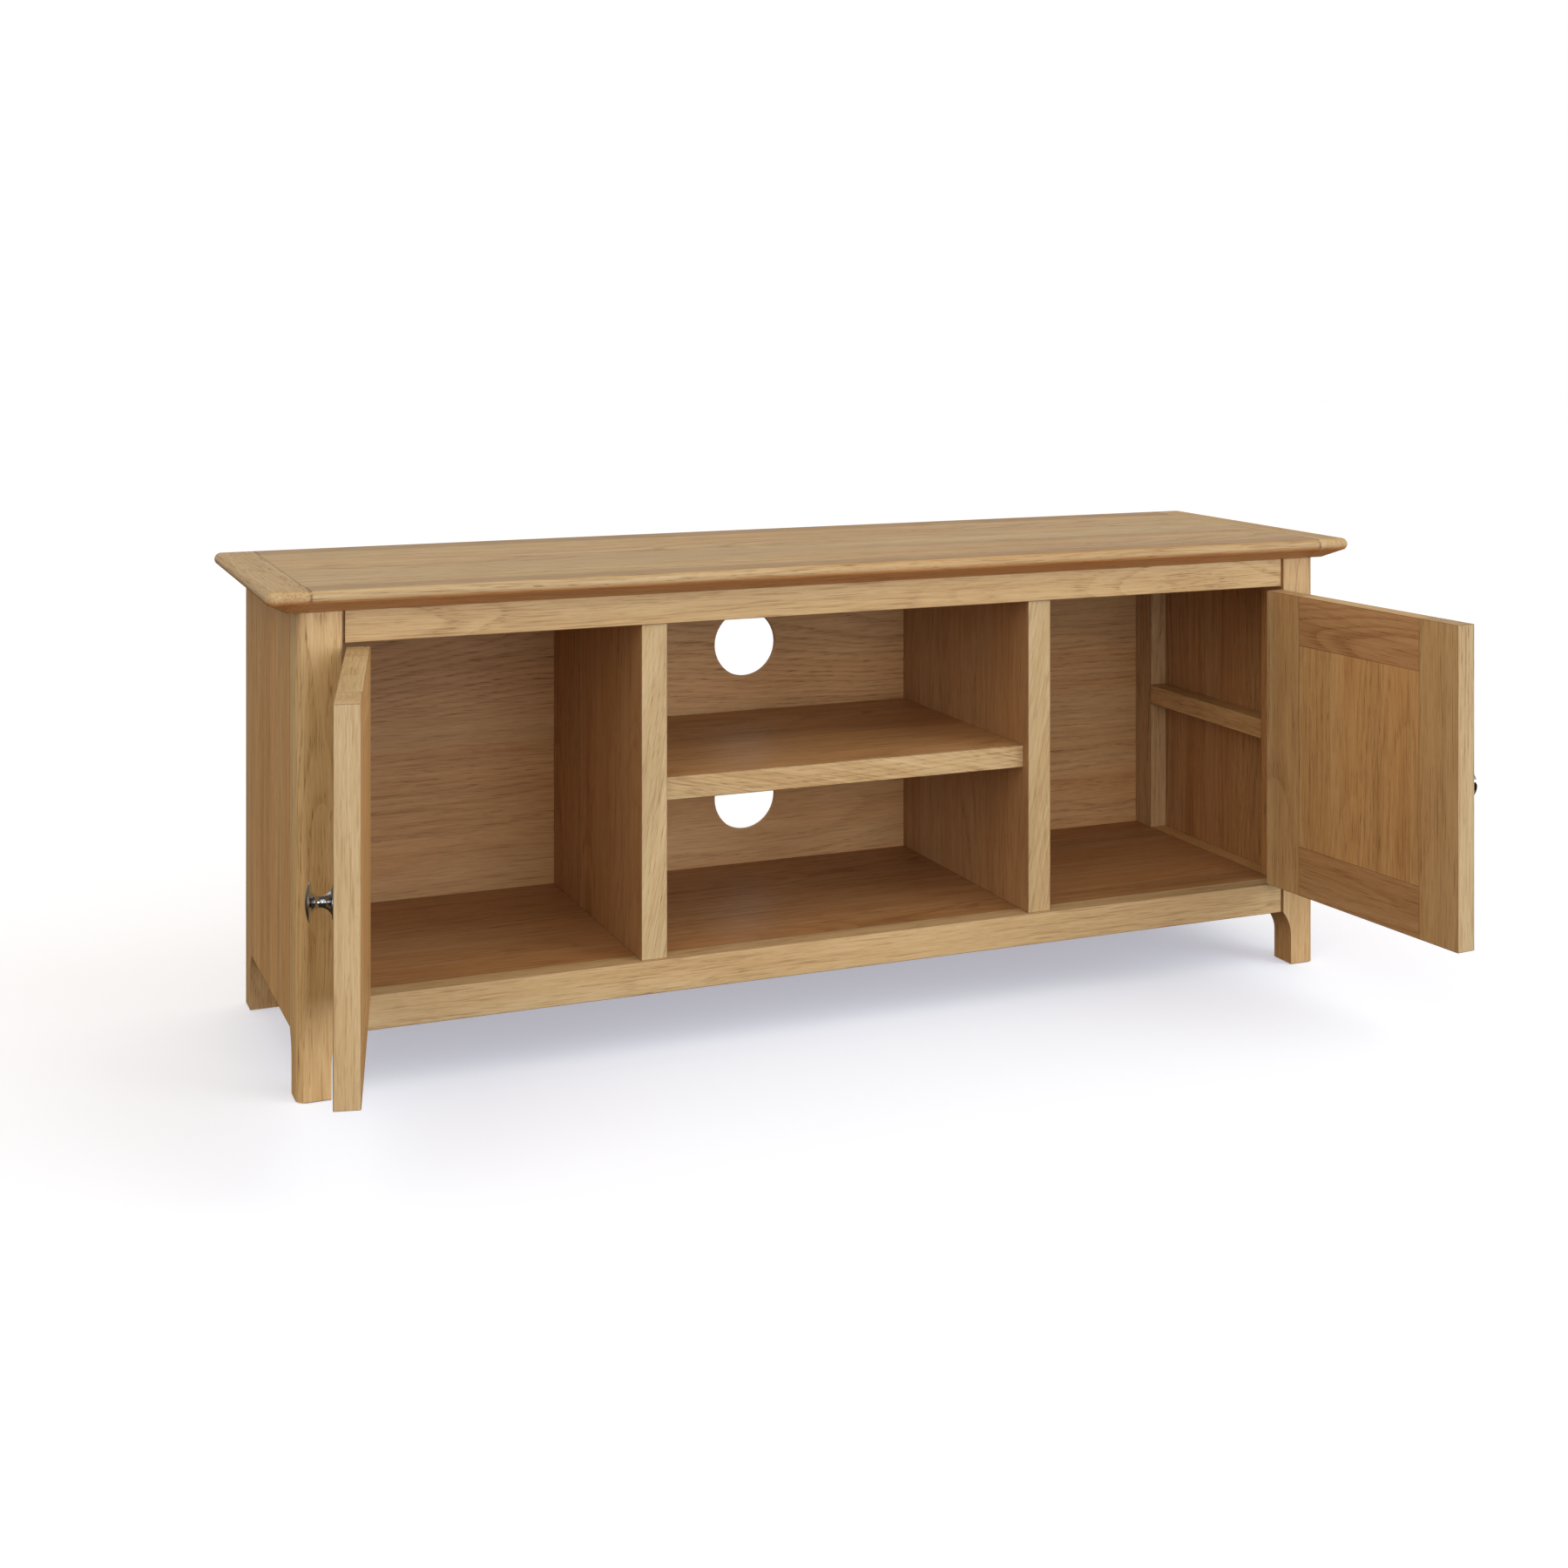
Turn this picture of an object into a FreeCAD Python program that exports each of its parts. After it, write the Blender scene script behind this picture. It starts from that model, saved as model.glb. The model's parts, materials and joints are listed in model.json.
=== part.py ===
"""An oak media cabinet: a framed top, four legged posts, three bays and two inset doors.

The origin is on the floor, under the middle of the body. +Z is up, the doors are on the -Y
side, and -X is the left of someone who faces them. Every length is in millimetres.
"""
import FreeCAD, Part
import math
import os
import re

import Sketcher

DIMENSIONS = {
    # Body
    "half_width": 568.0,
    "body_depth": 318.0,
    "arris_radius": 0.8,
    "face_recess": 0.8,
    "frame_thick": 22.8,
    # Top
    "top_underside": 456.0,
    "top_thick": 22.0,
    "top_half_length": 600.0,
    "front_overhang": 23.5,
    "back_overhang": 4.0,
    "nose_height": 13.0,
    "nose_flat": 0.04,
    "nose_corner": 9.0,
    "bevel_corner": 6.3,
    "bevel_run": 22.0,
    "bevel_lap": 3.2,
    "bevel_height": 10.2,
    "slab_spare": 20.0,
    "end_board_width": 41.0,
    "top_rail_width": 37.0,
    # Posts
    "post_width": 42.0,
    "post_corner": 10.0,
    "back_corner": 2.0,
    "leg_width": 31.5,
    "arch_start": 32.0,
    "arch_radius": 41.3,
    # Rails and panels
    "rail_underside": 59.5,
    "floor_top": 92.5,
    "floor_thick": 18.0,
    "upper_rail_underside": 425.0,
    "shadow_gap": 2.6,
    "shadow_depth": 6.0,
    "side_thick": 20.0,
    "cleat_height": 23.0,
    "cleat_thick": 22.0,
    "back_thick": 7.5,
    "back_rebate": 12.0,
    "back_rail_thick": 22.0,
    # Bays
    "divider_near": 203.5,
    "divider_thick": 27.0,
    "divider_recess": 3.7,
    "shelf_underside": 246.0,
    "shelf_thick": 23.5,
    "shelf_recess": 14.5,
    "cable_hole_radius": 38.0,
    # Doors
    "door_gap": 2.6,
    "latch_gap": 4.0,
    "sill_gap": 2.5,
    "head_gap": 3.0,
    "door_thick": 22.5,
    "stile_width": 54.0,
    "panel_thick": 15.5,
    "tongue_thick": 6.0,
    "tongue_length": 8.0,
    "left_opening": 103.0,
    "right_opening": 95.0,
    # Hinges
    "hinge_offset": 85.0,
    "hinge_height": 50.0,
    "leaf_thick": 1.0,
    "leaf_back": 17.0,
    "leaf_front": 1.9,
    "curl_lap": 0.2,
    "leaf_screw_depth": 10.0,
    "pin_proud": 1.0,
    "pin_radius": 1.2,
    "pin_spare": 0.3,
    "pin_head_radius": 2.0,
    "pin_head_height": 0.9,
    "pin_clearance": 0.05,
    "knuckle_radius": 2.5,
    "knuckle_gap": 0.3,
    "knuckle_length": 15.8,
    "relief_radius": 2.9,
    "relief_spare": 1.0,
    # Knobs
    "knob_inset": 33.0,
    "knob_height": 255.0,
    "knob_base_radius": 14.6,
    "knob_base_thick": 1.6,
    "knob_waist_radius": 4.5,
    "knob_waist_place": 11.6,
    "knob_cove": 10.0,
    "knob_flare": 7.0,
    "knob_rim_radius": 16.5,
    "knob_rim_low": 19.6,
    "knob_rim_high": 20.5,
    "knob_rim_ease": 0.3,
    "knob_length": 23.6,
    "knob_flat_radius": 0.6,
    "knob_dome": 45.0,
    # Catches
    "catch_inset": 20.0,
    "magnet_radius": 4.0,
    "magnet_length": 12.0,
    "magnet_proud": 1.0,
    "strike_radius": 2.5,
    "strike_length": 16.0,
    "strike_cover": 1.0,
    # Fasteners
    "dowel_radius": 4.0,
    "dowel_length": 32.0,
    "dowel_pitch": 8.0,
    "ledge_dowel_pitch": 5.6,
    "top_dowel_pitch": 10.0,
    "top_dowel_rise": 2.0,
    "top_dowel_front": 0.5,
    "top_dowel_inset": 10.0,
    "side_joint_inset": 40.0,
    "cleat_screw_inset": 30.0,
    "divider_joint_front": 90.0,
    "divider_joint_back": 250.0,
    "stud_radius": 2.0,
    "stud_length": 24.0,
}

LEFT = -1
RIGHT = 1
SIDES = {LEFT: "left", RIGHT: "right"}

# Head radius, shank radius and length of each kind of screw
CLEAT_SCREW = (4.0, 2.0, 36.0)
PANEL_SCREW = (3.4, 1.6, 17.0)
HINGE_SCREW = (2.6, 1.4, 14.0)

# Rows of fasteners: heights above the floor, and places to each side of the middle
SIDE_PANEL_DOWEL_HEIGHTS = (110.0, 210.0, 310.0, 400.0)
FLOOR_EDGE_DOWEL_DEPTHS = (70.0, 160.0, 250.0)
FLOOR_FRONT_DOWEL_PLACES = (130.0, 450.0)
BACK_RAIL_SCREW_PLACES = (150.0, 380.0)
BACK_DIVIDER_SCREW_HEIGHTS = (170.0, 345.0)
BACK_POST_SCREW_HEIGHTS = (130.0, 260.0, 390.0)
BACK_FLOOR_SCREW_PLACE = 400.0
HINGE_SCREW_SHARES = (0.2, 0.8)

doc = FreeCAD.newDocument("MediaCabinet")
sheet = doc.addObject("Spreadsheet::Sheet", "Dimensions")
for row, (alias, size) in enumerate(DIMENSIONS.items(), start=1):
    sheet.set(f"A{row}", alias)
    sheet.set(f"B{row}", str(size))
    sheet.setAlias(f"B{row}", alias)
doc.recompute()

nodes = []


# ---------------------------------------------------------------- expressions

def bound(text):
    """The expression, with the name of each dimension pointing at its spreadsheet cell."""
    return re.sub(r"[a-z]+(?:_[a-z]+)+", lambda name: "Dimensions." + name.group(), text)


def number(text):
    """What an expression comes to now."""
    return float(sheet.evalExpression(bound(text)))


def behind(depth):
    """The place along Y that is `depth` behind the front faces of the posts."""
    return f"{depth} - body_depth / 2"


def across(side, near, far):
    """The span along X from `near` to `far` of the middle, on one side of it."""
    if side == RIGHT:
        return near, far
    return f"-({far})", f"-({near})"


POST_INNER = "(half_width - post_width)"
BACK_FACE = "(body_depth - back_thick)"
FRAME_BACK = "(face_recess + frame_thick)"
DIVIDER_FAR = "(divider_near + divider_thick)"
DOOR_HINGE_EDGE = f"({POST_INNER} - door_gap)"
DOOR_LATCH_EDGE = f"({DIVIDER_FAR} + latch_gap)"
DOOR_BOTTOM = "(floor_top + sill_gap)"
DOOR_TOP = "(upper_rail_underside - head_gap)"
DOOR_BACK = "(face_recess + door_thick)"
PIN_X = f"({POST_INNER} - door_gap / 2)"
HINGE_BOTTOMS = (
    f"{DOOR_BOTTOM} + hinge_offset - hinge_height / 2",
    f"{DOOR_TOP} - hinge_offset - hinge_height / 2",
)


# ---------------------------------------------------------------- solids

def box(name, x, y, z):
    """A box between two places on each axis, each place an expression."""
    solid = doc.addObject("Part::Box", name)
    for size, axis, (low, high) in (("Length", "x", x), ("Width", "y", y), ("Height", "z", z)):
        solid.setExpression(size, bound(f"({high}) - ({low})"))
        solid.setExpression(f"Placement.Base.{axis}", bound(low))
    return solid


def upright_cylinder(name, x, y, z, radius, height):
    """A cylinder along +Z from the middle of its lower end."""
    solid = doc.addObject("Part::Cylinder", name)
    solid.setExpression("Radius", bound(radius))
    solid.setExpression("Height", bound(height))
    for axis, place in (("x", x), ("y", y), ("z", z)):
        solid.setExpression(f"Placement.Base.{axis}", bound(place))
    return solid


def fused(name, pieces):
    solid = doc.addObject("Part::MultiFuse", name)
    solid.Shapes = pieces
    return solid


def without(name, base, *tools):
    """`base` with each tool's shape taken out of it."""
    for count, tool in enumerate(tools):
        cut = doc.addObject("Part::Cut", f"{name}_cut_{count}")
        cut.Base = base
        cut.Tool = tool
        base = cut
    return base


def within(name, blank, bounds):
    """The part of `blank` that is inside `bounds`."""
    common = doc.addObject("Part::Common", name)
    common.Base = blank
    common.Tool = bounds
    return common


def eased(solid, chosen, radius="arris_radius"):
    """`solid` with the edges whose middles are `chosen` rounded over."""
    doc.recompute()
    fillet = doc.addObject("Part::Fillet", solid.Name + "_eased")
    fillet.Base = solid
    size = number(radius)
    edges = enumerate(solid.Shape.Edges, start=1)
    fillet.Edges = [(index, size, size) for index, edge in edges if chosen(edge.CenterOfMass)]
    return fillet


def node(solid, label):
    """Keep `solid` as one of the cabinet's pieces, under its own name."""
    solid.Label = label
    nodes.append(solid)
    return solid


def near(a, b):
    return abs(a - b) < 1e-3


# ---------------------------------------------------------------- sketches

def top_of_arc(start, end, radius, turn):
    """The middle of an arc from `start` to `end`.

    Its centre is to the left of the way if `turn` is +1, and to the right if it is -1.
    """
    chord = end - start
    rise = math.sqrt(max(radius ** 2 - (chord.Length / 2) ** 2, 0.0))
    normal = FreeCAD.Vector(-chord.y, chord.x, 0).normalize()
    return (start + end) / 2 - normal * turn * (radius - rise)


def outline(body, name, plane, corners, arcs=None):
    """A closed sketch whose corners are pairs of expressions, none of them negative.

    arcs gives, for the corner that a round side starts from, its radius and the side of the
    way that its centre is on: +1 for the left, -1 for the right.
    """
    arcs = arcs or {}
    sketch = body.newObject("Sketcher::SketchObject", name)
    origin_plane = [o for o in body.Origin.OriginFeatures if o.Role == plane][0]
    sketch.AttachmentSupport = [(origin_plane, "")]
    sketch.MapMode = "FlatFace"
    points = [FreeCAD.Vector(number(x), number(y), 0) for x, y in corners]
    ends = []
    for index, start in enumerate(points):
        end = points[(index + 1) % len(points)]
        if index in arcs:
            radius, turn = arcs[index]
            arc = Part.Arc(start, top_of_arc(start, end, number(radius), turn), end)
            side = sketch.addGeometry(arc, False)
            forward = (sketch.getPoint(side, 1) - start).Length < 1e-4
            ends.append((1, 2) if forward else (2, 1))
            sketch.addConstraint(Sketcher.Constraint("Radius", side, number(radius)))
            last = sketch.ConstraintCount - 1
            sketch.setExpression(f"Constraints[{last}]", bound(radius))
        else:
            sketch.addGeometry(Part.LineSegment(start, end), False)
            ends.append((1, 2))
    for side in range(len(points)):
        following = (side + 1) % len(points)
        sketch.addConstraint(
            Sketcher.Constraint("Coincident", side, ends[side][1], following, ends[following][0])
        )
    for side, place in enumerate(corners):
        for kind, text in zip(("DistanceX", "DistanceY"), place):
            start = (-1, 1, side, ends[side][0])
            sketch.addConstraint(Sketcher.Constraint(kind, *start, number(text)))
            last = sketch.ConstraintCount - 1
            sketch.setExpression(f"Constraints[{last}]", bound(text))
    return sketch


def padded(body, sketch, length):
    pad = body.newObject("PartDesign::Pad", sketch.Name + "_pad")
    pad.Profile = sketch
    pad.setExpression("Length", bound(length))
    doc.recompute()
    return pad


def pocketed_through(body, sketch):
    """Cut the sketch right through the body, both ways from its plane."""
    before = body.Shape.Volume
    pocket = body.newObject("PartDesign::Pocket", sketch.Name + "_pocket")
    pocket.Profile = sketch
    pocket.Type = 1
    pocket.Midplane = True
    doc.recompute()
    if not body.Shape.Volume < before:
        raise RuntimeError(f"{pocket.Name} cuts nothing")
    return pocket


def rounded(body, base, chosen, radius):
    """Round the edges of `base` whose middles are `chosen`."""
    names = [
        f"Edge{index}"
        for index, edge in enumerate(base.Shape.Edges, start=1)
        if chosen(edge.CenterOfMass)
    ]
    fillet = body.newObject("PartDesign::Fillet", base.Name + "_round")
    fillet.Base = (base, names)
    fillet.setExpression("Radius", bound(radius))
    doc.recompute()
    return fillet


def turned(name, corners, arcs):
    """A body turned about Z from a profile of (radius, height) corners."""
    body = doc.addObject("PartDesign::Body", name)
    sketch = outline(body, name + "_profile", "XZ_Plane", corners, arcs)
    revolution = body.newObject("PartDesign::Revolution", name + "_turning")
    revolution.Profile = sketch
    revolution.ReferenceAxis = (sketch, ["V_Axis"])
    revolution.Angle = 360
    doc.recompute()
    return body


# ---------------------------------------------------------------- fasteners

def plain_screw(head_radius, shank_radius, length):
    """A countersunk screw that drives along +Z from its head: also the shape of its hole."""
    head_height = head_radius - shank_radius
    tip = 3 * shank_radius
    head = Part.makeCone(head_radius, shank_radius, head_height)
    shank = Part.makeCylinder(
        shank_radius, length - head_height - tip, FreeCAD.Vector(0, 0, head_height)
    )
    point = Part.makeCone(shank_radius, shank_radius / 5, tip, FreeCAD.Vector(0, 0, length - tip))
    return head.fuse([shank, point]).removeSplitter()


def cross_headed(shape, head_radius, shank_radius):
    """A screw with a cross cut in its head."""
    slot = head_radius * 1.1
    width = head_radius * 0.2
    depth = (head_radius - shank_radius) * 0.6
    for long_x, long_y in ((slot, width), (width, slot)):
        corner = FreeCAD.Vector(-long_x / 2, -long_y / 2, 0)
        shape = shape.cut(Part.makeBox(long_x, long_y, depth, corner))
    return shape


def group(name, shape, places):
    """Copies of one fastener, each at a point and along a direction."""
    copies = []
    for point, direction in places:
        copy = shape.copy()
        turn = FreeCAD.Rotation(FreeCAD.Vector(0, 0, 1), FreeCAD.Vector(*direction))
        copy.Placement = FreeCAD.Placement(FreeCAD.Vector(*point), turn)
        copies.append(copy)
    feature = doc.addObject("Part::Feature", name)
    feature.Shape = Part.makeCompound(copies)
    return feature


def dowels(name, middles):
    """Dowels, each centred on a point and along a direction."""
    length = number("dowel_length")
    radius = number("dowel_radius")
    start = FreeCAD.Vector(0, 0, -length / 2)
    return group(name, Part.makeCylinder(radius, length, start), middles)


def screws(name, sizes, places):
    """Screws of one size, and their holes."""
    holes = plain_screw(*sizes)
    shape = cross_headed(holes, *sizes[:2])
    return group(name, shape, places), group(name + "_holes", holes, places)


ALONG_X = (1, 0, 0)
ALONG_Y = (0, 1, 0)
ALONG_Z = (0, 0, 1)


SIDE_JOINT_DEPTHS = (
    "post_width + side_joint_inset",
    "body_depth - post_width - side_joint_inset",
)
CLEAT_SCREW_DEPTHS = (
    "post_width + cleat_screw_inset",
    "body_depth / 2",
    "body_depth - post_width - cleat_screw_inset",
)
DIVIDER_JOINT_DEPTHS = ("divider_joint_front", "divider_joint_back")
TOP_DOWEL_DEPTHS = (
    "top_dowel_front - top_dowel_pitch",
    "top_dowel_front",
    "body_depth + back_overhang - top_dowel_inset - top_dowel_pitch",
    "body_depth + back_overhang - top_dowel_inset",
)


def from_front(depth):
    """A place along Y, as a number."""
    return number(behind(depth))


def rail_dowel_places():
    """Where the rails meet the posts, the side panels meet the posts and the cleats meet the sides."""
    places = []
    inner = number(POST_INNER)
    pitch = number("dowel_pitch")
    ledge_pitch = number("ledge_dowel_pitch")
    front = from_front("face_recess + frame_thick / 2")
    back = from_front(f"{BACK_FACE} - back_rail_thick / 2")
    upper = number("(upper_rail_underside + top_underside) / 2")
    lower = number("(rail_underside + floor_top) / 2")
    ledge = number("(rail_underside + floor_top - floor_thick) / 2")
    for side in SIDES:
        for way in (-1, 1):
            places.append(((side * inner, front, upper + way * pitch), ALONG_X))
            places.append(((side * inner, front, lower + way * pitch), ALONG_X))
            places.append(((side * inner, back, upper + way * pitch), ALONG_X))
            places.append(((side * inner, back + way * ledge_pitch, ledge), ALONG_X))
        middle = number("half_width - side_thick / 2")
        for height in SIDE_PANEL_DOWEL_HEIGHTS:
            for depth in ("post_width", "body_depth - post_width"):
                places.append(((side * middle, from_front(depth), height), ALONG_Y))
        seam = number("half_width - side_thick")
        for height in cleat_middles().values():
            for depth in SIDE_JOINT_DEPTHS:
                places.append(((side * seam, from_front(depth), number(height)), ALONG_X))
    return places


def floor_dowel_places():
    """Where the floor panel meets the front rail and the lower cleats."""
    places = []
    height = number("floor_top - floor_thick / 2")
    joint = from_front(FRAME_BACK)
    for side in SIDES:
        for place in FLOOR_FRONT_DOWEL_PLACES:
            places.append(((side * place, joint, height), ALONG_Y))
        for depth in FLOOR_EDGE_DOWEL_DEPTHS:
            places.append(((side * number(POST_INNER), from_front(depth), height), ALONG_X))
    return places


def divider_dowel_places():
    """Where the dividers meet the rails, the floor and the top, and the shelf meets the dividers."""
    places = []
    rail = from_front("face_recess + frame_thick / 2")
    shelf_middle = number("shelf_underside + shelf_thick / 2")
    for side in SIDES:
        middle = side * number(f"(divider_near + {DIVIDER_FAR}) / 2")
        shelf_end = side * number("divider_near")
        for height in ("floor_top", "upper_rail_underside"):
            places.append(((middle, rail, number(height)), ALONG_Z))
        for depth in DIVIDER_JOINT_DEPTHS:
            place = from_front(depth)
            for height in ("floor_top", "top_underside"):
                places.append(((middle, place, number(height)), ALONG_Z))
            places.append(((shelf_end, place, shelf_middle), ALONG_X))
    return places


def top_dowel_places():
    """Where the end boards of the top meet its front and back rails, clear of the bevel."""
    places = []
    height = number("top_underside + top_thick / 2 + top_dowel_rise")
    for side in SIDES:
        joint = side * number("top_half_length - end_board_width")
        for depth in TOP_DOWEL_DEPTHS:
            places.append(((joint, from_front(depth), height), ALONG_X))
    return places


def cleat_screw_places():
    """Up through the upper cleats into the top."""
    places = []
    middle = number(f"({POST_INNER} + half_width - side_thick) / 2")
    start = number("top_underside - cleat_height")
    for side in SIDES:
        for depth in CLEAT_SCREW_DEPTHS:
            places.append(((side * middle, from_front(depth), start), ALONG_Z))
    return places


def back_panel_screw_places():
    """Through the back panel into the back rail, the posts, the dividers and the floor."""
    points = []
    upper = number("(upper_rail_underside + top_underside) / 2")
    floor = number("floor_top - floor_thick / 2")
    divider = number(f"(divider_near + {DIVIDER_FAR}) / 2")
    post = number(f"{POST_INNER} + back_rebate / 2")
    for side in SIDES:
        points += [(side * place, upper) for place in BACK_RAIL_SCREW_PLACES]
        points += [(side * divider, height) for height in BACK_DIVIDER_SCREW_HEIGHTS]
        points += [(side * post, height) for height in BACK_POST_SCREW_HEIGHTS]
        points.append((side * BACK_FLOOR_SCREW_PLACE, floor))
    points.append((0.0, floor))
    surface = from_front("body_depth")
    return [((x, surface, z), (0, -1, 0)) for x, z in points]


def cleat_middles():
    """The height of the middle of each of a side's three cleats."""
    return {
        "lower": "floor_top - cleat_height / 2",
        "middle": "shelf_underside + cleat_height / 2",
        "upper": "top_underside - cleat_height / 2",
    }


rail_dowels = node(dowels("rail_dowels", rail_dowel_places()), "rail_dowels")
floor_dowels = node(dowels("floor_dowels", floor_dowel_places()), "floor_dowels")
divider_dowels = node(dowels("divider_dowels", divider_dowel_places()), "divider_dowels")
top_dowels = node(dowels("top_dowels", top_dowel_places()), "top_dowels")
cleat_screws, cleat_screw_holes = screws("cleat_screws", CLEAT_SCREW, cleat_screw_places())
node(cleat_screws, "cleat_screws")
panel_screws, panel_screw_holes = screws(
    "back_panel_screws", PANEL_SCREW, back_panel_screw_places()
)
node(panel_screws, "back_panel_screws")


# ---------------------------------------------------------------- top

def top_blank():
    """The whole top: a bullnosed slab on a bevelled underside.

    It runs on past the back edge by the slab's spare, because that edge is cut square.
    """
    slab = doc.addObject("PartDesign::Body", "top_slab")
    length = "2 * top_half_length"
    depth = "(front_overhang + body_depth + back_overhang + slab_spare)"
    corners = [
        ("nose_corner", "0"),
        (f"{length} - nose_corner", "0"),
        (length, "nose_corner"),
        (length, depth),
        ("0", depth),
        ("0", "nose_corner"),
    ]
    plan = outline(
        slab, "top_plan", "XY_Plane", corners, {1: ("nose_corner", 1), 5: ("nose_corner", 1)}
    )
    pad = padded(slab, plan, "nose_height")
    back_edge = number(depth)
    rounded(
        slab,
        pad,
        lambda middle: not near(middle.y, back_edge)
        and not near(middle.z, number("nose_height / 2")),
        "(nose_height - nose_flat) / 2",
    )
    slab.setExpression("Placement.Base.x", bound("-top_half_length"))
    slab.setExpression("Placement.Base.y", bound(behind("-front_overhang")))
    slab.setExpression("Placement.Base.z", bound("top_underside + top_thick - nose_height"))

    bevel = doc.addObject("Part::Wedge", "top_bevel")
    bevel.Placement = FreeCAD.Placement(
        FreeCAD.Vector(0, 0, number("top_underside")),
        FreeCAD.Rotation(FreeCAD.Vector(1, 0, 0), 90),
    )
    bevel.setExpression("Placement.Base.z", bound("top_underside"))
    bevel.Ymin = 0
    bevel.setExpression("Ymax", bound("bevel_height"))
    spans = {
        "Xmin": "-(top_half_length - bevel_run)",
        "Xmax": "top_half_length - bevel_run",
        "X2min": "-(top_half_length - bevel_lap)",
        "X2max": "top_half_length - bevel_lap",
        "Zmin": "-(body_depth / 2 + back_overhang + slab_spare)",
        "Z2min": "-(body_depth / 2 + back_overhang + slab_spare)",
        "Zmax": "body_depth / 2 + front_overhang - bevel_run",
        "Z2max": "body_depth / 2 + front_overhang - bevel_lap",
    }
    for name, place in spans.items():
        bevel.setExpression(name, bound(place))
    lowest = number("top_underside")
    highest = number("top_underside + bevel_height")
    front = from_front("0")
    soft_bevel = eased(
        bevel,
        lambda middle: lowest + 1 < middle.z < highest - 1 and middle.y < front,
        "bevel_corner",
    )
    return fused("top_blank", [slab, soft_bevel])


def make_top():
    """Two end boards, a front and a back rail, and a field panel on a tongue."""
    blank = top_blank()
    whole_z = ("top_underside - 1", "top_underside + top_thick + 1")
    front = behind("-front_overhang - 1")
    back = behind("body_depth + back_overhang")
    field_front = behind("top_rail_width - front_overhang")
    field_back = behind("body_depth + back_overhang - top_rail_width")
    joint = "(top_half_length - end_board_width)"
    between = (f"-{joint}", joint)
    tongue = box(
        "top_tongue",
        (f"-({joint} + tongue_length)", f"{joint} + tongue_length"),
        (f"{field_front} - tongue_length", f"{field_back} + tongue_length"),
        (
            "top_underside + top_thick / 2 - tongue_thick / 2",
            "top_underside + top_thick / 2 + tongue_thick / 2",
        ),
    )
    for side, word in SIDES.items():
        room = box(
            f"top_{word}_end_room", across(side, joint, "top_half_length + 1"), (front, back), whole_z
        )
        board = within(f"top_{word}_end", blank, room)
        board = without(f"top_{word}_end", board, tongue, top_dowels)
        node(board, f"top_{word}_end_board")
    for word, span in (("front", (front, field_front)), ("back", (field_back, back))):
        room = box(f"top_{word}_rail_room", between, span, whole_z)
        board = within(f"top_{word}_rail_whole", blank, room)
        node(without(f"top_{word}_rail", board, tongue, top_dowels), f"top_{word}_rail")
    field = box(
        "top_field",
        between,
        (field_front, field_back),
        ("top_underside", "top_underside + top_thick"),
    )
    field = fused("top_field_tongued", [field, tongue])
    field = without("top_field", field, divider_dowels, cleat_screw_holes)
    node(field, "top_field_panel")


# ---------------------------------------------------------------- hinges

def pin_y():
    return behind("-pin_proud")


def make_hinge_relief():
    """The round clearance for the knuckles, which the posts and the doors share."""
    reliefs = {}
    for side, word in SIDES.items():
        pieces = [
            upright_cylinder(
                f"{word}_relief_{index}",
                f"{side} * {PIN_X}",
                pin_y(),
                f"{bottom} - relief_spare",
                "relief_radius",
                "hinge_height + 2 * relief_spare",
            )
            for index, bottom in enumerate(HINGE_BOTTOMS)
        ]
        reliefs[side] = fused(f"{word}_hinge_relief", pieces)
    return reliefs


def hinge_screw_places(side, face, direction):
    """Two screws for each hinge, on a face across X."""
    depth = from_front("leaf_screw_depth")
    places = []
    for bottom in HINGE_BOTTOMS:
        for share in HINGE_SCREW_SHARES:
            height = number(f"{bottom} + hinge_height * {share}")
            places.append(((side * number(face), depth, height), (side * direction, 0, 0)))
    return places


def leaves(name, side, plate, knuckles):
    """One leaf for each hinge: a plate with knuckles curled round the pin.

    plate is the plate's span along X, and knuckles are spans along the hinge's height.
    """
    solids = []
    for index, bottom in enumerate(HINGE_BOTTOMS):
        stem = f"{name}_{index}"
        pieces = [
            box(
                f"{stem}_plate",
                across(side, *plate),
                (behind("leaf_front"), behind("leaf_back")),
                (bottom, f"{bottom} + hinge_height"),
            )
        ]
        for count, (low, high) in enumerate(knuckles):
            span = (f"{bottom} + {low}", f"{bottom} + {high}")
            pieces.append(
                box(
                    f"{stem}_curl_{count}",
                    across(side, *plate),
                    (behind("-curl_lap"), behind("leaf_front + curl_lap")),
                    span,
                )
            )
            pieces.append(
                upright_cylinder(
                    f"{stem}_knuckle_{count}",
                    f"{side} * {PIN_X}",
                    pin_y(),
                    span[0],
                    "knuckle_radius",
                    f"({high}) - ({low})",
                )
            )
        bore = upright_cylinder(
            f"{stem}_bore",
            f"{side} * {PIN_X}",
            pin_y(),
            f"{bottom} - 1",
            "pin_radius + pin_clearance",
            "hinge_height + 2",
        )
        solids.append(without(stem, fused(f"{stem}_solid", pieces), bore))
    pair = doc.addObject("Part::Compound", f"{name}_pair")
    pair.Links = solids
    return pair


def hinge_pins():
    """A headed pin for each hinge."""
    low = number("-pin_spare")
    high = number("hinge_height + pin_spare")
    head = number("pin_head_height")
    shape = Part.makeCylinder(number("pin_radius"), high - low, FreeCAD.Vector(0, 0, low))
    for place in (low - head, high):
        cap = Part.makeCylinder(number("pin_head_radius"), head, FreeCAD.Vector(0, 0, place))
        shape = shape.fuse(cap)
    shape = shape.removeSplitter()
    places = []
    for side in SIDES:
        for bottom in HINGE_BOTTOMS:
            point = (side * number(PIN_X), number(pin_y()), number(bottom))
            places.append((point, ALONG_Z))
    return node(group("hinge_pins", shape, places), "hinge_pins")


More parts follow.
